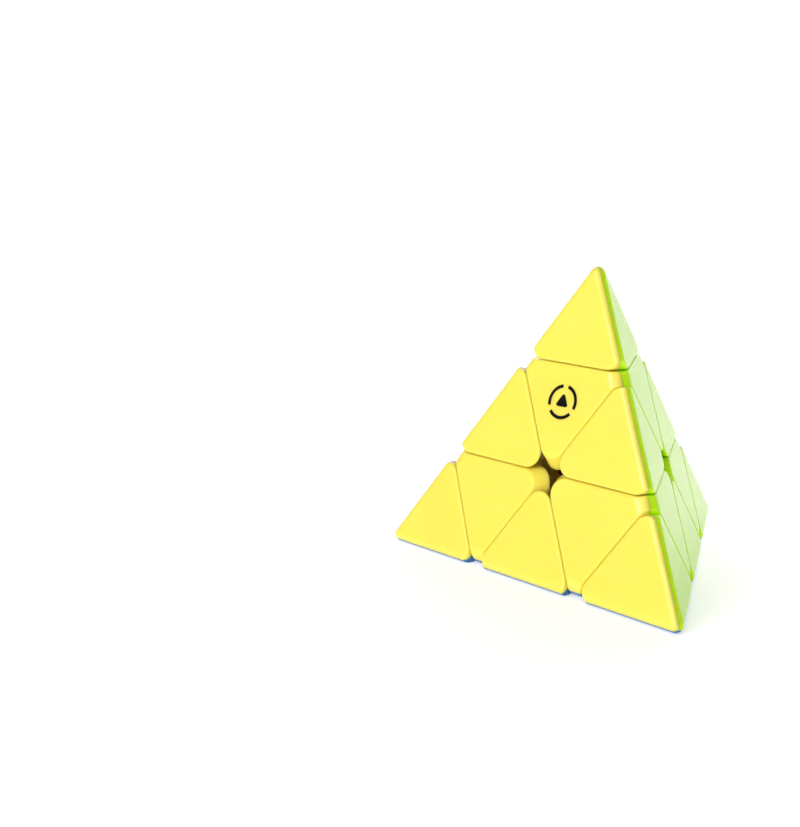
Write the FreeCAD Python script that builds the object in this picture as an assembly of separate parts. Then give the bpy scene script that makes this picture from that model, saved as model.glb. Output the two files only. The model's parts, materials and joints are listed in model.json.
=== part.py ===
import FreeCAD, Part

import math
import os

from FreeCAD import Vector

# A four-sided twisty puzzle.  The origin is where its four turning axes meet, +Z is
# the axis of the top corner, and the yellow face looks towards -Y.  Lengths are in mm.

# --- driving dimensions: the outside ---------------------------------------------------
EDGE_LENGTH = 98.0          # one side of the pyramid, measured between its sharp corners
EDGE_RADIUS = 1.9           # rounding along the pyramid's own edges
TIP_SHARE = 0.342           # height of a tip, as a share of the pyramid's
TIP_CORNER_RADIUS = 2.2     # rounding of a tip's three lower corners, seen from the side
TIP_CLEARANCE = 0.12        # from a tip's edges to the cone that rounds those corners
SEAM_RADIUS = 0.5           # rounding of a piece along the seams around it
HOLE_CORNER_RADIUS = 4.2    # wall corners that surround the hole in the middle of a face
NUB_EDGE_RADIUS = 4.0       # rounding along the nubs, which sets them back from the edge
NUB_LENGTH = 3.6            # how far a centre piece reaches along the pyramid's edge
NUB_SEAM_LENGTH = 5.4       # and where its nub starts, along the layer's seam
NUB_CORNER_RADIUS = 2.4     # wall corners where an edge piece stops at the nub
NUB_ROOT_RADIUS = 0.8       # wall corners where the nub begins
NUB_ROOT = 1.0              # how deep a nub starts inside its own piece
SEAM = 0.2                  # width of every seam
FACE_WALL = 1.8             # thickness of a coloured shell under the face
SIDE_WALL = 1.4             # thickness of its walls along the seams

# --- driving dimensions: the mechanism, as radii from the centre ------------------------
CORE_REACH = 9.6            # end of each core arm
FOOT_INNER = 11.3           # the edge feet run in this shell
FOOT_OUTER = 13.7
FLANGE_INNER = 14.0         # the flanges that hold the feet down run in this one
FLANGE_OUTER = 16.2
BLOCK_INNER = 16.5          # the coloured blocks stay outside this radius
BLOCK_FLOOR = 1.8           # floor of an edge block above its neck

# --- driving dimensions: the mechanism, as angles from a turning axis -------------------
HUB_ANGLE = 35.0            # feet keep outside this angle, hubs inside it
FLANGE_ANGLE = 45.0         # rim of a flange
NECK_NEAR_ANGLE = 46.0      # a neck runs between two flanges
NECK_FAR_ANGLE = 63.5
FOOT_ANGLE = 74.5           # rim of a foot, seen from the axis that it turns about
FOOT_CLEAR_ANGLE = 75.5     # a foot at rest keeps outside this angle of the other axes

# --- driving dimensions: along a turning axis -------------------------------------------
CORE_RADIUS = 6.2
ARM_RADIUS = 3.0
SCREW_RADIUS = 1.25
SCREW_START = 3.0
SCREW_HEAD_RADIUS = 2.9
SCREW_HEAD_HEIGHT = 1.8
DRIVE_LENGTH = 4.0          # the cross for the screwdriver
DRIVE_WIDTH = 0.7
DRIVE_DEPTH = 0.9
HUB_START = 9.9
HUB_RADIUS = 5.0
HUB_FLOOR = 1.5
SCREW_HOLE_RADIUS = 1.6
CHAMBER_RADIUS = 3.9
SPRING_RADIUS = 2.9
SPRING_WIRE = 0.7
SPRING_LENGTH = 6.0
SPRING_TURNS = 5.0
WASHER_RADIUS = 3.5
WASHER_THICKNESS = 0.5
NUT_RADIUS = 3.5
NUT_HEIGHT = 2.4
NUT_GRIPS = 6
NUT_GRIP_RADIUS = 0.5
CHAMBER_TOP = 26.0
RUNNING_GAP = 0.05

# --- driving dimensions: tip stem and magnets -------------------------------------------
STEM_RADIUS = 2.9
STEM_BARB_RADIUS = 3.4
STEM_BARB_HEIGHT = 1.2
STEM_HEAD_RADIUS = 4.6
STEM_HEAD_HEIGHT = 2.0
STEM_START = 24.4
STEM_SLOT_WIDTH = 0.8
STEM_SLOT_LENGTH = 6.5
WEB_THICKNESS = 1.6
MAGNET_RADIUS = 2.0
MAGNET_THICKNESS = 1.8
MAGNET_OUT = 20.5           # from the turning axis to a magnet's own axis
BOSS_WALL = 0.8
WEB_ROOT = 0.3              # how far a web runs into the flange that carries it
NECK_ROOT = 0.4             # how far a neck runs into the foot and the block

# --- worked out from the above ----------------------------------------------------------
HEIGHT = EDGE_LENGTH * math.sqrt(2 / 3)
FACE_DISTANCE = HEIGHT / 4              # centre to each face
CORNER_DISTANCE = 3 * HEIGHT / 4        # centre to each sharp corner
LAYER_CUT = HEIGHT / 12                 # centre to the plane under each layer
TIP_CUT = CORNER_DISTANCE - TIP_SHARE * HEIGHT    # centre to the plane under each tip
HALF_SEAM = SEAM / 2
SPAN = 2 * EDGE_LENGTH                  # larger than anything here
TOLERANCE = 1e-4                        # closer than this is the same place
HUB_FLOOR_TOP = HUB_START + HUB_FLOOR
SPRING_START = HUB_FLOOR_TOP + RUNNING_GAP
WASHER_START = SPRING_START + SPRING_LENGTH
NUT_START = WASHER_START + WASHER_THICKNESS
SCREW_HEAD_START = NUT_START + NUT_HEIGHT

AXES = {
    "top": Vector(0, 0, 1),
    "left": Vector(-math.sqrt(2 / 3), -math.sqrt(2) / 3, -1 / 3),
    "right": Vector(math.sqrt(2 / 3), -math.sqrt(2) / 3, -1 / 3),
    "back": Vector(0, 2 * math.sqrt(2) / 3, -1 / 3),
}
# Each face lies opposite one corner.
OPPOSITE = {"yellow": "back", "green": "left", "red": "right", "blue": "top"}
EDGES = [("top", "left"), ("top", "right"), ("top", "back"),
         ("left", "right"), ("right", "back"), ("back", "left")]


def others(*corners):
    """The corners that aren't named."""
    return [name for name in AXES if name not in corners]


def colours_at(*corners):
    """The faces that meet at a corner, or along the edge between two corners."""
    return [face for face, far in OPPOSITE.items() if far not in corners]


# --- building blocks --------------------------------------------------------------------
def aligned(direction, origin):
    """A placement whose own Z runs along direction."""
    return FreeCAD.Placement(origin, FreeCAD.Rotation(Vector(0, 0, 1), direction))


def sideways(axis, toward):
    """The direction across axis that points to the side where toward lies."""
    across = toward - axis * axis.dot(toward)
    return across.normalize()


def turned_from(axis):
    """Z along axis, and X, where round shapes have their seam, away from the nubs."""
    neighbour = next(other for other in AXES.values() if axis.dot(other) < 0)
    return FreeCAD.Rotation(-sideways(axis, neighbour), Vector(0, 0, 0), axis, "ZXY")


def turn_taking(first, second, new_first, new_second):
    """The turn that takes two of the axes to two others, and the puzzle onto itself."""
    before = FreeCAD.Rotation(
        sideways(AXES[first], AXES[second]), Vector(0, 0, 0), AXES[first], "ZXY")
    after = FreeCAD.Rotation(
        sideways(AXES[new_first], AXES[new_second]), Vector(0, 0, 0), AXES[new_first], "ZXY")
    return after.multiply(before.inverted())


def turned(shape, turn):
    copy = shape.copy()
    copy.Placement = FreeCAD.Placement(Vector(0, 0, 0), turn).multiply(copy.Placement)
    return copy


def half_space(normal, distance):
    """Everything that lies no further than distance along normal."""
    block = Part.makeBox(2 * SPAN, 2 * SPAN, 2 * SPAN, Vector(-SPAN, -SPAN, -2 * SPAN))
    block.Placement = aligned(normal, normal * distance)
    return block


def ball_shell(inner, outer):
    return Part.makeSphere(outer).cut(Part.makeSphere(inner))


def axis_cone(axis, angle):
    """The inside of a cone from the centre, at angle degrees around axis."""
    slope = math.tan(math.radians(angle))
    return Part.makeCone(0, SPAN * slope / 4, SPAN / 4, Vector(0, 0, 0), axis)


def drum(axis, radius, start, end):
    """A cylinder about axis from start to end."""
    return Part.makeCylinder(radius, end - start, axis * start, axis)


def common_of(first, *rest):
    for shape in rest:
        first = first.common(shape)
    return first


def solid_of(shape):
    """The one solid of a result."""
    found = shape.Solids
    if len(found) != 1:
        raise ValueError(f"expected one solid, found {len(found)}")
    return found[0]


def pyramid(face_distance):
    corners = {name: axis * (3 * face_distance) for name, axis in AXES.items()}
    faces = []
    for name in AXES:
        ring = [corners[other] for other in others(name)]
        faces.append(Part.Face(Part.makePolygon(ring + ring[:1])))
    return Part.Solid(Part.Shell(faces))


def rounded_pyramid(inset, edge_radius=EDGE_RADIUS):
    """The puzzle's outside, moved inwards by inset."""
    radius = max(edge_radius - inset, 0)
    sharp = pyramid(FACE_DISTANCE - inset - radius)
    if radius == 0:
        return sharp
    return sharp.makeOffsetShape(radius, TOLERANCE, join=0)


def rounded_wedge(normal_a, normal_b, distance, radius):
    """Two half spaces together, with the line where their planes meet rounded off."""
    wedge = half_space(normal_a, distance).common(half_space(normal_b, distance))
    corner = []
    for edge in wedge.Edges:
        middle = edge.valueAt((edge.FirstParameter + edge.LastParameter) / 2)
        gap = abs(middle.dot(normal_a) - distance) + abs(middle.dot(normal_b) - distance)
        if gap < TOLERANCE:
            corner.append(edge)
    return wedge.makeFillet(radius, corner)


def nub_limit(axis, gap):
    """What a turning layer sweeps beside the nubs of the pieces that stand still.

    The nub stops on a cone about the layer's axis.  From the layer's sharp corner, the
    cone is NUB_LENGTH away along the pyramid's edge and NUB_SEAM_LENGTH along the seam.
    """
    corner_radius = (CORNER_DISTANCE - LAYER_CUT) / math.sqrt(2)
    seam_side = corner_radius / 2
    seam_half = corner_radius * math.sqrt(3) / 2 - NUB_SEAM_LENGTH
    start_radius = math.hypot(seam_side, seam_half)
    depth = NUB_LENGTH * HEIGHT / EDGE_LENGTH
    end_radius = corner_radius - depth / math.sqrt(2)
    slope = (end_radius - start_radius) / depth
    low = LAYER_CUT - NUB_LENGTH
    length = CORNER_DISTANCE - low
    low_radius = start_radius + slope * (low - LAYER_CUT) + gap
    cone = Part.makeCone(low_radius, low_radius + slope * length, length)
    cone.Placement = FreeCAD.Placement(axis * low, turned_from(axis))
    return cone


def tip_limit(axis, base):
    """A cone that clears a tip's own edges, with its rim at the tip's base rounded."""
    crest = EDGE_RADIUS * (math.sqrt(3) - 1)
    height = CORNER_DISTANCE - math.sqrt(3) * crest + TIP_CLEARANCE - base
    cone = Part.makeCone(height / math.sqrt(2), 0, height)
    rim = [edge for edge in cone.Edges if isinstance(edge.Curve, Part.Circle)]
    cone = cone.makeFillet(TIP_CORNER_RADIUS, rim)
    cone.Placement = FreeCAD.Placement(axis * base, turned_from(axis))
    return cone


def sector(colour, corners):
    """The part of a piece at these corners that is moulded in one colour."""
    far = OPPOSITE[colour]
    shape = None
    for rival in colours_at(*corners):
        if rival == colour:
            continue
        across = AXES[far] - AXES[OPPOSITE[rival]]
        side = half_space(across.normalize(), 0)
        shape = side if shape is None else shape.common(side)
    return shape


# --- rounding along the seams -----------------------------------------------------------
def on_skin(face, skin):
    """Whether a face of a block is part of the puzzle's outside."""
    u, v = face.Surface.parameter(face.CenterOfMass)
    return Part.Vertex(face.Surface.value(u, v)).distToShape(skin)[0] < 10 * TOLERANCE


def seam_edges(block, skin):
    """Edges between the puzzle's outside and a wall of the block."""
    outer = set()
    wall = set()
    for face in block.Faces:
        found = outer if on_skin(face, skin) else wall
        found.update(edge.hashCode() for edge in face.Edges)
    return [edge for edge in block.Edges if edge.hashCode() in outer & wall]


def nub_edges(block, skin):
    """Wall edges where the conical side of a nub begins."""
    outline = {edge.hashCode() for edge in seam_edges(block, skin)}
    return [edge for face in block.Faces if isinstance(face.Surface, Part.Cone)
            for edge in face.Edges if edge.hashCode() not in outline]


def rounded_block(block, edge_radius=EDGE_RADIUS, corner_radius=0):
    """A block with its nub corners and its whole outline rounded."""
    skin = rounded_pyramid(0, edge_radius).Shells[0]
    if corner_radius:
        block = block.makeFillet(corner_radius, nub_edges(block, skin))
    return block.makeFillet(SEAM_RADIUS, seam_edges(block, skin))


# --- the three kinds of block -----------------------------------------------------------
# face_wall and side_wall are 0 for a block's outside, and the walls' thicknesses for the
# space inside it.
def tip_block(corner, face_wall=0, side_wall=0):
    base = TIP_CUT + HALF_SEAM + side_wall
    block = rounded_pyramid(face_wall).common(half_space(-AXES[corner], -base))
    if side_wall:
        return block
    return block.common(tip_limit(AXES[corner], base))


def centre_block(corner, face_wall=0, side_wall=0):
    """The piece under a tip, whose nubs reach out along the three edges."""
    axis = AXES[corner]
    band = common_of(
        rounded_pyramid(face_wall, NUB_EDGE_RADIUS),
        half_space(axis, TIP_CUT - HALF_SEAM - side_wall),
        half_space(-axis, side_wall - LAYER_CUT - HALF_SEAM),
    )
    block = band
    clear = LAYER_CUT - HALF_SEAM - side_wall
    neighbours = others(corner)
    for index, name in enumerate(neighbours):
        following = neighbours[(index + 1) % 3]
        wedge = rounded_wedge(AXES[name], AXES[following], clear, HOLE_CORNER_RADIUS - side_wall)
        block = block.common(wedge)
    near_tip = half_space(-axis, 2 * NUB_LENGTH - TIP_CUT)
    for name in neighbours:
        rooted = half_space(-AXES[name], NUB_ROOT - clear)
        nub = common_of(band, near_tip, rooted).cut(nub_limit(AXES[name], HALF_SEAM + side_wall))
        block = block.fuse(nub)
    return block.removeSplitter()


def edge_block(pair, face_wall=0, side_wall=0):
    """The piece between two corners, outside both of their layer planes."""
    first, second = (AXES[name] for name in pair)
    start = LAYER_CUT + HALF_SEAM + side_wall
    block = rounded_pyramid(face_wall).common(
        rounded_wedge(-first, -second, -start, HOLE_CORNER_RADIUS - side_wall))
    for axis in (first, second):
        block = block.common(nub_limit(axis, -HALF_SEAM - side_wall))
    return block


# --- things that sit on a turning axis ---------------------------------------------------
def core():
    body = Part.makeSphere(CORE_RADIUS)
    for axis in AXES.values():
        body = body.fuse(drum(axis, ARM_RADIUS, 0, CORE_REACH))
    for axis in AXES.values():
        body = body.cut(drum(axis, SCREW_RADIUS, SCREW_START, CORE_REACH))
    return solid_of(body.removeSplitter())


def axis_screw(axis):
    top = SCREW_HEAD_START + SCREW_HEAD_HEIGHT
    screw = drum(axis, SCREW_RADIUS, SCREW_START, SCREW_HEAD_START)
    screw = screw.fuse(drum(axis, SCREW_HEAD_RADIUS, SCREW_HEAD_START, top))
    for turn in (0, 90):
        drive = Part.makeBox(DRIVE_LENGTH, DRIVE_WIDTH, DRIVE_DEPTH,
                             Vector(-DRIVE_LENGTH / 2, -DRIVE_WIDTH / 2, 0))
        drive.rotate(Vector(0, 0, 0), Vector(0, 0, 1), turn)
        drive.Placement = aligned(axis, axis * (top - DRIVE_DEPTH)).multiply(drive.Placement)
        screw = screw.cut(drive)
    return solid_of(screw.removeSplitter())


def tension_spring(axis):
    wire = SPRING_WIRE / 2
    coil = SPRING_RADIUS - wire
    rise = SPRING_LENGTH - SPRING_WIRE
    path = Part.Wire(Part.makeHelix(rise / SPRING_TURNS, rise, coil).Edges)
    ring = Part.Wire(Part.makeCircle(wire, Vector(coil, 0, 0), Vector(0, 1, 0)))
    spring = path.makePipeShell([ring], True, True)
    spring.Placement = aligned(axis, axis * (SPRING_START + wire))
    return solid_of(spring)


def washer(axis):
    ring = drum(axis, WASHER_RADIUS, WASHER_START, NUT_START)
    return solid_of(ring.cut(drum(axis, SCREW_RADIUS, WASHER_START, NUT_START)))


def tension_nut(axis):
    """A round nut whose rim has grips for the adjusting tool."""
    nut = drum(axis, NUT_RADIUS, NUT_START, SCREW_HEAD_START)
    nut = nut.cut(drum(axis, SCREW_RADIUS, NUT_START, SCREW_HEAD_START))
    for step in range(NUT_GRIPS):
        angle = 2 * math.pi * step / NUT_GRIPS
        place = Vector(NUT_RADIUS * math.cos(angle), NUT_RADIUS * math.sin(angle), 0)
        grip = Part.makeCylinder(NUT_GRIP_RADIUS, NUT_HEIGHT, place)
        grip.Placement = aligned(axis, axis * NUT_START).multiply(grip.Placement)
        nut = nut.cut(grip)
    return solid_of(nut)


def hub(axis):
    """The tube that turns on the screw and takes the tip's stem at its outer end."""
    tube = drum(axis, HUB_RADIUS, HUB_START, TIP_CUT - HALF_SEAM)
    tube = tube.cut(drum(axis, SCREW_HOLE_RADIUS, HUB_START, HUB_FLOOR_TOP))
    tube = tube.cut(drum(axis, CHAMBER_RADIUS, HUB_FLOOR_TOP, CHAMBER_TOP))
    return tube.cut(drum(axis, STEM_RADIUS + RUNNING_GAP, CHAMBER_TOP, TIP_CUT))


def webs(corner, space):
    """Three ribs from the axis to the insides of the coloured shells, within a space."""
    axis = AXES[corner]
    ribs = []
    for name in others(corner):
        side = -sideways(axis, AXES[name])
        rib = Part.makeBox(SPAN / 4, WEB_THICKNESS, SPAN / 4, Vector(0, -WEB_THICKNESS / 2, 0))
        rib.Placement = FreeCAD.Placement(
            Vector(0, 0, 0), FreeCAD.Rotation(side, Vector(0, 0, 0), axis, "ZXY"))
        ribs.append(rib.common(space))
    return ribs[0].fuse(ribs[1:])


# --- magnets -----------------------------------------------------------------------------
def magnet_seat(layer, beside, above):
    """Where the magnet pair between a layer and what is beside it lies, and its direction.

    The layer's own magnet is above the layer plane, and the other one is below it.
    """
    axis = AXES[layer]
    out = sideways(axis, AXES[beside]) * MAGNET_OUT
    wall = HALF_SEAM + SIDE_WALL
    if above:
        return out + axis * (LAYER_CUT + wall), axis
    return out + axis * (LAYER_CUT - wall), -axis


def magnet(seat):
    place, direction = seat
    return Part.makeCylinder(MAGNET_RADIUS, MAGNET_THICKNESS, place, direction)


def with_magnet_seats(shape, seats):
    """A hollow shape with a ring around each magnet, on the wall that it lies against."""
    for place, direction in seats:
        root = place - direction * (SIDE_WALL / 2)
        ring = Part.makeCylinder(MAGNET_RADIUS + BOSS_WALL, MAGNET_THICKNESS + SIDE_WALL / 2,
                                 root, direction)
        shape = shape.fuse(ring)
    for seat in seats:
        shape = shape.cut(magnet(seat))
    return shape


# --- the pieces, each modelled once and then turned to where its copies are ----------------
def tip_shell(corner, colour):
    floor = TIP_CUT + HALF_SEAM + SIDE_WALL
    casing = rounded_block(tip_block(corner)).cut(tip_block(corner, FACE_WALL, SIDE_WALL))
    casing = casing.cut(drum(AXES[corner], STEM_RADIUS, TIP_CUT, floor))
    return solid_of(casing.common(sector(colour, (corner,))))


def tip_stem(corner):
    """The inner part of a tip, which snaps into the hub below it."""
    axis = AXES[corner]
    floor = TIP_CUT + HALF_SEAM + SIDE_WALL
    stem = drum(axis, STEM_RADIUS, STEM_START, floor)
    stem = stem.fuse(drum(axis, STEM_BARB_RADIUS, STEM_START, STEM_START + STEM_BARB_HEIGHT))
    stem = stem.fuse(drum(axis, STEM_HEAD_RADIUS, floor, floor + STEM_HEAD_HEIGHT))
    slot = Part.makeBox(4 * STEM_RADIUS, STEM_SLOT_WIDTH, STEM_SLOT_LENGTH,
                        Vector(-2 * STEM_RADIUS, -STEM_SLOT_WIDTH / 2, 0))
    slot.Placement = FreeCAD.Placement(axis * STEM_START, turned_from(axis))
    stem = stem.cut(slot).fuse(webs(corner, tip_block(corner, FACE_WALL, SIDE_WALL)))
    return solid_of(stem.removeSplitter())


def centre_seats(corner):
    return [magnet_seat(layer, corner, above=False) for layer in others(corner)]


def centre_shell(corner, colour):
    casing = rounded_block(centre_block(corner), NUB_EDGE_RADIUS, NUB_ROOT_RADIUS)
    casing = casing.cut(Part.makeSphere(BLOCK_INNER))
    casing = casing.cut(centre_block(corner, FACE_WALL, SIDE_WALL))
    casing = casing.cut(drum(AXES[corner], HUB_RADIUS, 0, TIP_CUT))
    casing = with_magnet_seats(casing, centre_seats(corner))
    return solid_of(casing.common(sector(colour, (corner,))))


def centre_frame(corner):
    """The hub, the flange that holds the edge feet down, and the ribs behind the shells."""
    axis = AXES[corner]
    flange = ball_shell(FLANGE_INNER, FLANGE_OUTER).common(axis_cone(axis, FLANGE_ANGLE))
    ribs = webs(corner, centre_block(corner, FACE_WALL, SIDE_WALL))
    ribs = ribs.cut(Part.makeSphere(FLANGE_OUTER - WEB_ROOT))
    bore = drum(axis, HUB_RADIUS - RUNNING_GAP, 0, TIP_CUT)
    frame = flange.fuse(ribs).cut(bore).fuse(hub(axis))
    return solid_of(frame.removeSplitter())


def edge_foot(pair):
    """The foot that runs under the flanges, and the neck that carries the coloured block."""
    own = [AXES[name] for name in pair]
    far = [AXES[name] for name in others(*pair)]
    ahead = half_space(-(own[0] + own[1]).normalize(), 0)
    foot = common_of(ball_shell(FOOT_INNER, FOOT_OUTER), ahead,
                     *[axis_cone(axis, FOOT_ANGLE) for axis in own])
    for axis in own:
        foot = foot.cut(axis_cone(axis, HUB_ANGLE))
    for axis in far:
        foot = foot.cut(axis_cone(axis, FOOT_CLEAR_ANGLE))
    neck = common_of(ball_shell(FOOT_OUTER - NECK_ROOT, BLOCK_INNER + NECK_ROOT), ahead,
                     *[axis_cone(axis, NECK_FAR_ANGLE) for axis in own])
    for axis in own:
        neck = neck.cut(axis_cone(axis, NECK_NEAR_ANGLE))
    return foot.fuse(neck)


def edge_seats(pair):
    return [magnet_seat(pair[0], pair[1], above=True), magnet_seat(pair[1], pair[0], above=True)]


def edge_half(pair, colour):
    space = edge_block(pair, FACE_WALL, SIDE_WALL)
    space = space.cut(Part.makeSphere(BLOCK_INNER + BLOCK_FLOOR))
    casing = rounded_block(edge_block(pair), corner_radius=NUB_CORNER_RADIUS)
    casing = casing.cut(Part.makeSphere(BLOCK_INNER))
    casing = casing.fuse(edge_foot(pair)).cut(space)
    casing = with_magnet_seats(casing, edge_seats(pair))
    return solid_of(casing.common(sector(colour, pair)))


def magnets(seats):
    return Part.makeCompound([magnet(seat) for seat in seats])


def hardware():
    """Identical fasteners, one group for each kind."""
    kinds = {"axis_screws": axis_screw, "tension_springs": tension_spring,
             "spring_washers": washer, "tension_nuts": tension_nut}
    return {name: Part.makeCompound([make(axis) for axis in AXES.values()])
            for name, make in kinds.items()}


def corner_pieces():
    """The tip and the centre piece of each corner."""
    tip = tip_shell("top", "yellow")
    centre = centre_shell("top", "yellow")
    inner = {"tip_stem": tip_stem("top"), "centre_frame": centre_frame("top"),
             "centre_magnets": magnets(centre_seats("top"))}
    far = OPPOSITE["yellow"]
    pieces = {}
    for corner in AXES:
        for colour in colours_at(corner):
            turn = turn_taking("top", far, corner, OPPOSITE[colour])
            pieces[f"{corner}_tip_{colour}_shell"] = turned(tip, turn)
            pieces[f"{corner}_centre_{colour}_shell"] = turned(centre, turn)
        turn = turn_taking("top", far, corner, others(corner)[0])
        for kind, shape in inner.items():
            pieces[f"{corner}_{kind}"] = turned(shape, turn)
    return pieces


def edge_pieces():
    """The two coloured halves and the magnets of each edge piece."""
    model = ("top", "left")
    half = edge_half(model, "yellow")
    pair_magnets = magnets(edge_seats(model))
    pieces = {}
    for pair in EDGES:
        name = f"{pair[0]}_{pair[1]}_edge"
        for order in (pair, pair[::-1]):
            turn = turn_taking(*model, *order)
            far = turn.multVec(AXES[OPPOSITE["yellow"]])
            colour = min(OPPOSITE, key=lambda face: AXES[OPPOSITE[face]].distanceToPoint(far))
            pieces[f"{name}_{colour}_half"] = turned(half, turn)
        pieces[f"{name}_magnets"] = turned(pair_magnets, turn)
    return pieces


def main():
    pieces = {"core": core(), **hardware(), **corner_pieces(), **edge_pieces()}
    os.makedirs("parts", exist_ok=True)
    for name, shape in pieces.items():
        shape.exportStep(f"parts/{name}.step")


if __name__ == "__main__":
    main()
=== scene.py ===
import json
import math

import bmesh
import bpy
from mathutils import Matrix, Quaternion, Vector


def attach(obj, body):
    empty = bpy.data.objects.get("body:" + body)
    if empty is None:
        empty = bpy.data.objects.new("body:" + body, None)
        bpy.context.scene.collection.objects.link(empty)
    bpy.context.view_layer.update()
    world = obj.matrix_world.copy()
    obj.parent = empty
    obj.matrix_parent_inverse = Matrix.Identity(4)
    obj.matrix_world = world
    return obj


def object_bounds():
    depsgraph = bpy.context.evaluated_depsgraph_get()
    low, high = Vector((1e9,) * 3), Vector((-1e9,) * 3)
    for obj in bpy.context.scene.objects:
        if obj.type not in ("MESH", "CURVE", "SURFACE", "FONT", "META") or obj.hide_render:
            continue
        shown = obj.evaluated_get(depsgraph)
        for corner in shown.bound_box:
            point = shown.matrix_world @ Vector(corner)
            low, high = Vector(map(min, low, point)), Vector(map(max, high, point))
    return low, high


# The looks of the pyramid twisty puzzle: plastic and metal finishes, a printed mark, a
# floor, light and a camera.  Lengths are in metres.

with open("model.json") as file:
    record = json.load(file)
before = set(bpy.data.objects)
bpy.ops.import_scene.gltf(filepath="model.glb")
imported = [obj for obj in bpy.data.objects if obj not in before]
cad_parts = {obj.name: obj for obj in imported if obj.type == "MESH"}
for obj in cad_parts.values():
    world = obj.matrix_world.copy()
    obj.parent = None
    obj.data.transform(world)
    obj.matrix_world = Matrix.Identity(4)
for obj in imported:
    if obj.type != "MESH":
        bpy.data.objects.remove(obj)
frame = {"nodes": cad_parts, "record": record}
CAD_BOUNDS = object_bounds()

MM = 0.001

# The yellow face looks along FACE_OUT, and FACE_UP runs up it to the top corner.
FACE_OUT = Vector((0.0, -math.sqrt(8.0), 1.0)) / 3.0
FACE_RIGHT = Vector((1.0, 0.0, 0.0))
FACE_UP = FACE_OUT.cross(FACE_RIGHT)

# The printed mark on the yellow face of the top centre piece.  MARK_RISE is how far up
# the piece it is, as a share of the piece's height along the face.
MARK_BODY = "top_centre"
MARK_NODE = "top_centre_yellow_shell"
MARK_SLOT = "black_plastic"
MARK_RISE = 0.59
MARK_RADIUS = 4.4 * MM
MARK_RING_WIDTH = 0.85 * MM
MARK_THICKNESS = 0.03 * MM
MARK_ARCS = 3
MARK_ARC_GAP = math.radians(22.0)
MARK_ARC_STEPS = 24
MARK_HEART_RADIUS = 2.4 * MM
MARK_HEART_ROUNDING = 0.5 * MM
MARK_HEART_STEPS = 6

# The camera, CAMERA_DISTANCE away from AIM.  From azimuth 0 it sees the yellow face.
AIM = Vector((-37.13, -33.01, 18.04)) * MM
CAMERA_DISTANCE = 333.0 * MM
CAMERA_AZIMUTH = math.radians(46.645)
CAMERA_ELEVATION = math.radians(13.509)
CAMERA_ROLL = math.radians(-0.447)
LENS = 58.01
SENSOR = 36.0
NEAREST = 0.01
FARTHEST = 100.0

# The floor reaches past everything the camera sees.  Its glow grows towards the bright
# side, from NEAR_GLOW at NEAR_FLOOR to FAR_GLOW at FAR_FLOOR, measured from the middle.
FLOOR_SIZE = 40.0
FLOOR_WHITE = (0.86, 0.86, 0.86)
FLOOR_ROUGHNESS = 0.7
NEAR_FLOOR = -0.03
FAR_FLOOR = 0.07
NEAR_GLOW = 0.4
FAR_GLOW = 0.82

# The surroundings are bright towards BRIGHT_SIDE and dark away from it.  DARK_UP_TO and
# BRIGHT_FROM are cosines of the angle from that side.
BRIGHT_SIDE = Vector((-0.45, 0.89, -0.1)).normalized()
DARK_UP_TO = 0.45
BRIGHT_FROM = 0.94
DARK_LEVEL = 0.3
BRIGHT_LEVEL = 2.3

# The key light puts the bright line on the rounded edges, and the fill is large and soft.
KEY_PLACE = (-0.2, -0.98, 0.68)
KEY_SIZE = 0.36
KEY_POWER = 3.8
FILL_PLACE = (0.5, -1.1, 0.5)
FILL_SIZE = 1.2
FILL_POWER = 13.3

# Grain sizes as noise cells a metre.
CLOUD = 55.0
GLOSS_PATCHES = 240.0
FINE_GRAIN = 5200.0
COARSE_GRAIN = 4200.0
TOOL_LINES = 900.0
STAINS = 300.0
FLOOR_SPECKLE = 40.0

# How many finer layers a noise has, and the range that nearly all of it lies in.
SOFT = 2.0
BROKEN = 3.0
RAGGED = 4.0
NOISE_LOW = 0.3
NOISE_HIGH = 0.7

# How deep the bumps are, and how strongly they show.
FINE_DEPTH = 0.01 * MM
COARSE_DEPTH = 0.02 * MM
PLASTIC_BUMP = 0.35
METAL_BUMP = 0.3

# Lowest and highest share of a finish's own colour or roughness.
PLASTIC_TINT = (0.96, 1.04)
PLASTIC_GLOSS = (0.88, 1.12)
METAL_TINT = (0.85, 1.1)
METAL_GLOSS = (0.7, 1.3)
FLOOR_TINT = (0.99, 1.01)

# Roughness of the coloured plastic, the other plastics, the steel and the magnets.
SATIN = 0.19
MATTE = 0.45
DRAWN = 0.28
POLISHED = 0.2

# Tool lines run along z on the steel and along y on the magnets.
ALONG_Z = (1.0, 1.0, 0.1)
ALONG_Y = (1.0, 0.1, 1.0)

# How much light goes below a plastic's surface, how far in, and how much it is bent.
# INK_INDEX is lower than that of real ink, to keep the mark black under bright lights.
CLEAR = 0.8
DENSE = 0.2
OPAQUE = 0.0
LIGHT_DEPTH = 3.5 * MM
LIGHT_DEPTH_BY_COLOUR = (1.0, 0.85, 0.2)
PLASTIC_INDEX = 1.42
INK_INDEX = 1.2

YELLOW = (0.93, 0.735, 0.11)
GREEN = (0.53, 0.98, 0.002)
RED = (0.46, 0.010, 0.010)
BLUE = (0.012, 0.125, 0.30)
BLACK = (0.002, 0.002, 0.002)
IVORY = (0.92, 0.68, 0.14)
STEEL = (0.55, 0.55, 0.54)
NICKEL = (0.62, 0.61, 0.58)

# Slot, colour and how much light passes through, for each of the four face colours.
COLOURED = (
    ("yellow_plastic", YELLOW, CLEAR),
    ("green_plastic", GREEN, CLEAR),
    ("red_plastic", RED, DENSE),
    ("blue_plastic", BLUE, DENSE),
)


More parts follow.
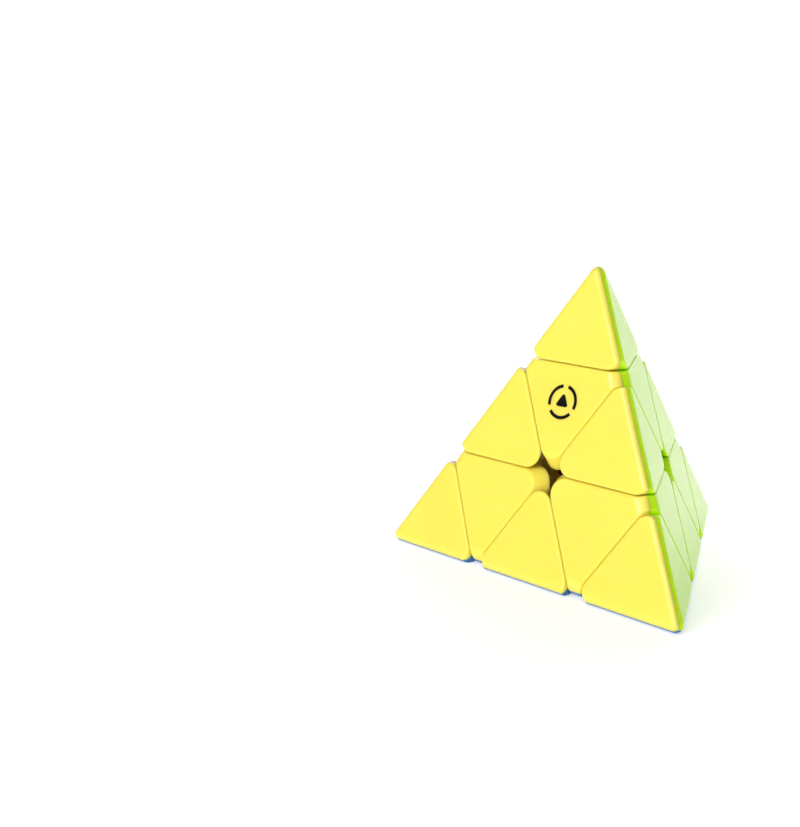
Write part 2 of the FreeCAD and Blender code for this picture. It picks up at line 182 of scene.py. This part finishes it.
def new_material(name):
    """A material with an empty node tree apart from its shader and its object coordinates."""
    material = bpy.data.materials.new(name)
    material.use_nodes = True
    nodes = material.node_tree.nodes
    nodes.clear()
    output = nodes.new("ShaderNodeOutputMaterial")
    shader = nodes.new("ShaderNodeBsdfPrincipled")
    place = nodes.new("ShaderNodeTexCoord")
    material.node_tree.links.new(shader.outputs["BSDF"], output.inputs["Surface"])
    return material, shader, place


def noise(material, place, scale, detail, stretch=(1.0, 1.0, 1.0)):
    """Noise over the piece's own coordinates, with scale in cells a metre."""
    tree = material.node_tree
    mapping = tree.nodes.new("ShaderNodeMapping")
    mapping.inputs["Scale"].default_value = stretch
    tree.links.new(place.outputs["Object"], mapping.inputs["Vector"])
    node = tree.nodes.new("ShaderNodeTexNoise")
    node.inputs["Scale"].default_value = scale
    node.inputs["Detail"].default_value = detail
    tree.links.new(mapping.outputs["Vector"], node.inputs["Vector"])
    return node.outputs["Fac"]


def ramp(tree, value, span, ends, kind="LINEAR"):
    """A number that runs between the two ends as the value runs over the span."""
    node = tree.nodes.new("ShaderNodeMapRange")
    node.interpolation_type = kind
    node.inputs["From Min"].default_value, node.inputs["From Max"].default_value = span
    node.inputs["To Min"].default_value, node.inputs["To Max"].default_value = ends
    tree.links.new(value, node.inputs["Value"])
    return node.outputs["Result"]


def distance_along(tree, point, direction):
    """How far the point lies along the direction."""
    node = tree.nodes.new("ShaderNodeVectorMath")
    node.operation = "DOT_PRODUCT"
    node.inputs[1].default_value = direction
    tree.links.new(point, node.inputs[0])
    return node.outputs["Value"]


def uneven(material, factor, amount, shares):
    """The amount times a share that follows the noise factor between the two shares."""
    low, high = shares
    ends = (amount * low, amount * high)
    return ramp(material.node_tree, factor, (NOISE_LOW, NOISE_HIGH), ends)


def shade_between(material, factor, colour, shares):
    """The colour times a share that follows the noise factor between the two shares."""
    tree = material.node_tree
    low, high = shares
    node = tree.nodes.new("ShaderNodeMix")
    node.data_type = "RGBA"
    node.inputs["A"].default_value = [c * low for c in colour] + [1.0]
    node.inputs["B"].default_value = [min(1.0, c * high) for c in colour] + [1.0]
    tree.links.new(factor, node.inputs["Factor"])
    return node.outputs["Result"]


def bump(material, shader, height, strength, distance):
    """Raises the surface by the height, at most distance metres."""
    tree = material.node_tree
    node = tree.nodes.new("ShaderNodeBump")
    node.inputs["Strength"].default_value = strength
    node.inputs["Distance"].default_value = distance
    tree.links.new(height, node.inputs["Height"])
    tree.links.new(node.outputs["Normal"], shader.inputs["Normal"])


def plastic(name, colour, roughness, grain, grain_depth, glow, index=PLASTIC_INDEX):
    """Moulded plastic: faintly clouded colour, uneven gloss and a fine grain from the mould.

    glow is how much light goes through the plastic below its surface, and index is how
    much it bends light, which sets how bright its reflections are.
    """
    material, shader, place = new_material(name)
    tree = material.node_tree
    cloud = noise(material, place, CLOUD, BROKEN)
    patches = noise(material, place, GLOSS_PATCHES, RAGGED)
    fine = noise(material, place, grain, SOFT)
    tint = shade_between(material, cloud, colour, PLASTIC_TINT)
    gloss = uneven(material, patches, roughness, PLASTIC_GLOSS)
    tree.links.new(tint, shader.inputs["Base Color"])
    tree.links.new(gloss, shader.inputs["Roughness"])
    shader.inputs["IOR"].default_value = index
    shader.inputs["Subsurface Weight"].default_value = glow
    shader.inputs["Subsurface Radius"].default_value = LIGHT_DEPTH_BY_COLOUR
    shader.inputs["Subsurface Scale"].default_value = LIGHT_DEPTH
    bump(material, shader, fine, PLASTIC_BUMP, grain_depth)
    return material


def metal(name, colour, roughness, stretch):
    """Bright metal with the fine lines that drawing or turning leaves."""
    material, shader, place = new_material(name)
    tree = material.node_tree
    lines = noise(material, place, TOOL_LINES, BROKEN, stretch)
    stain = noise(material, place, STAINS, SOFT)
    tint = shade_between(material, stain, colour, METAL_TINT)
    gloss = uneven(material, lines, roughness, METAL_GLOSS)
    tree.links.new(tint, shader.inputs["Base Color"])
    tree.links.new(gloss, shader.inputs["Roughness"])
    shader.inputs["Metallic"].default_value = 1.0
    bump(material, shader, lines, METAL_BUMP, FINE_DEPTH)
    return material


def finishes():
    """One material for each of the record's material slots."""
    made = {
        name: plastic(name, colour, SATIN, FINE_GRAIN, FINE_DEPTH, glow)
        for name, colour, glow in COLOURED
    }
    made["inner_plastic"] = plastic(
        "inner_plastic", IVORY, MATTE, COARSE_GRAIN, COARSE_DEPTH, CLEAR)
    made["black_plastic"] = plastic(
        "black_plastic", BLACK, MATTE, COARSE_GRAIN, COARSE_DEPTH, OPAQUE, INK_INDEX)
    made["steel"] = metal("steel", STEEL, DRAWN, ALONG_Z)
    made["magnet"] = metal("magnet", NICKEL, POLISHED, ALONG_Y)
    return made


def paint(materials):
    """Gives each CAD piece the finish of its slot in the record."""
    for piece in frame["record"]["subparts"]:
        mesh = frame["nodes"][piece["node"]].data
        mesh.materials.clear()
        mesh.materials.append(materials[piece["material_slot"]])


def ring_arc(start, end):
    """The outline of one arc of the mark's ring, as points on the face."""
    inner = MARK_RADIUS - MARK_RING_WIDTH
    angles = [start + (end - start) * i / MARK_ARC_STEPS for i in range(MARK_ARC_STEPS + 1)]
    outside = [(MARK_RADIUS * math.cos(a), MARK_RADIUS * math.sin(a)) for a in angles]
    inside = [(inner * math.cos(a), inner * math.sin(a)) for a in reversed(angles)]
    return outside + inside


def heart():
    """The outline of the rounded triangle in the middle of the mark."""
    points = []
    for corner in range(3):
        middle = math.pi / 2.0 + corner * math.tau / 3.0
        reach = MARK_HEART_RADIUS - 2.0 * MARK_HEART_ROUNDING
        for step in range(MARK_HEART_STEPS + 1):
            turn = middle + (step / MARK_HEART_STEPS - 0.5) * math.tau / 3.0
            points.append((
                reach * math.cos(middle) + MARK_HEART_ROUNDING * math.cos(turn),
                reach * math.sin(middle) + MARK_HEART_ROUNDING * math.sin(turn),
            ))
    return points


def mark_outlines():
    """The outlines of the mark: arcs of a ring around a rounded triangle."""
    step = math.tau / MARK_ARCS
    outlines = [heart()]
    for i in range(MARK_ARCS):
        middle = -math.pi / 2.0 + i * step
        half = (step - MARK_ARC_GAP) / 2.0
        outlines.append(ring_arc(middle - half, middle + half))
    return outlines


def printed_mark(material):
    """A thin layer of black ink on the yellow face of the top centre piece."""
    reach = max(v.co.dot(FACE_OUT) for v in frame["nodes"][MARK_NODE].data.vertices)
    heights = [v.co.dot(FACE_UP) for v in frame["nodes"][MARK_NODE].data.vertices]
    height = min(heights) + MARK_RISE * (max(heights) - min(heights))
    middle = FACE_OUT * (reach + MARK_THICKNESS / 2.0) + FACE_UP * height
    shape = bmesh.new()
    for outline in mark_outlines():
        corners = [shape.verts.new(middle + FACE_RIGHT * x + FACE_UP * y) for x, y in outline]
        shape.faces.new(corners)
    bmesh.ops.recalc_face_normals(shape, faces=shape.faces)
    bmesh.ops.solidify(shape, geom=list(shape.faces), thickness=MARK_THICKNESS)
    bmesh.ops.recalc_face_normals(shape, faces=shape.faces)
    mesh = bpy.data.meshes.new("top_centre_printed_mark")
    shape.to_mesh(mesh)
    shape.free()
    mark = bpy.data.objects.new("top_centre_printed_mark", mesh)
    bpy.context.scene.collection.objects.link(mark)
    mesh.materials.append(material)
    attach(mark, MARK_BODY)


def add_floor():
    """A plain pale floor that glows, more so towards the bright side."""
    low = CAD_BOUNDS[0][2]
    bpy.ops.mesh.primitive_plane_add(size=FLOOR_SIZE, location=(0.0, 0.0, low))
    floor = bpy.context.object
    floor.name = "floor"
    material, shader, place = new_material("floor")
    tree = material.node_tree
    speckle = noise(material, place, FLOOR_SPECKLE, SOFT)
    tint = shade_between(material, speckle, FLOOR_WHITE, FLOOR_TINT)
    distance = distance_along(tree, place.outputs["Object"], BRIGHT_SIDE)
    glow = ramp(tree, distance, (NEAR_FLOOR, FAR_FLOOR), (NEAR_GLOW, FAR_GLOW), "SMOOTHSTEP")
    tree.links.new(tint, shader.inputs["Base Color"])
    shader.inputs["Roughness"].default_value = FLOOR_ROUGHNESS
    tree.links.new(glow, shader.inputs["Emission Strength"])
    shader.inputs["Emission Color"].default_value = (1.0, 1.0, 1.0, 1.0)
    floor.data.materials.append(material)


def camera_frame():
    """The camera's direction from AIM, and its rotation."""
    level = math.cos(CAMERA_ELEVATION)
    away = Vector((
        level * math.sin(CAMERA_AZIMUTH),
        -level * math.cos(CAMERA_AZIMUTH),
        math.sin(CAMERA_ELEVATION),
    ))
    turn = (-away).to_track_quat("-Z", "Y") @ Quaternion((0.0, 0.0, 1.0), CAMERA_ROLL)
    return away, turn


def add_camera():
    """The camera of the main view."""
    away, turn = camera_frame()
    data = bpy.data.cameras.new("camera")
    data.sensor_fit = "HORIZONTAL"
    data.sensor_width = SENSOR
    data.lens = LENS
    data.clip_start = NEAREST
    data.clip_end = FARTHEST
    camera = bpy.data.objects.new("camera", data)
    camera.location = AIM + away * CAMERA_DISTANCE
    camera.rotation_mode = "QUATERNION"
    camera.rotation_quaternion = turn
    bpy.context.scene.collection.objects.link(camera)
    bpy.context.scene.camera = camera


def surroundings():
    """A studio that is bright behind the puzzle and fades to dim elsewhere."""
    world = bpy.data.worlds.new("studio")
    world.use_nodes = True
    tree = world.node_tree
    tree.nodes.clear()
    output = tree.nodes.new("ShaderNodeOutputWorld")
    background = tree.nodes.new("ShaderNodeBackground")
    place = tree.nodes.new("ShaderNodeTexCoord")
    nearness = distance_along(tree, place.outputs["Generated"], BRIGHT_SIDE)
    level = ramp(
        tree, nearness, (DARK_UP_TO, BRIGHT_FROM), (DARK_LEVEL, BRIGHT_LEVEL), "SMOOTHSTEP")
    tree.links.new(level, background.inputs["Strength"])
    tree.links.new(background.outputs["Background"], output.inputs["Surface"])
    bpy.context.scene.world = world


def softbox(name, place, size, power):
    """A square area light at place, aimed at the middle of the puzzle."""
    data = bpy.data.lights.new(name, "AREA")
    data.shape = "SQUARE"
    data.size = size
    data.energy = power
    light = bpy.data.objects.new(name, data)
    light.location = place
    light.rotation_mode = "QUATERNION"
    light.rotation_quaternion = (-Vector(place)).to_track_quat("-Z", "Y")
    bpy.context.scene.collection.objects.link(light)


materials = finishes()
paint(materials)
printed_mark(materials[MARK_SLOT])
add_floor()
surroundings()
softbox("key", KEY_PLACE, KEY_SIZE, KEY_POWER)
softbox("fill", FILL_PLACE, FILL_SIZE, FILL_POWER)
add_camera()
bpy.context.scene.view_settings.view_transform = "Standard"
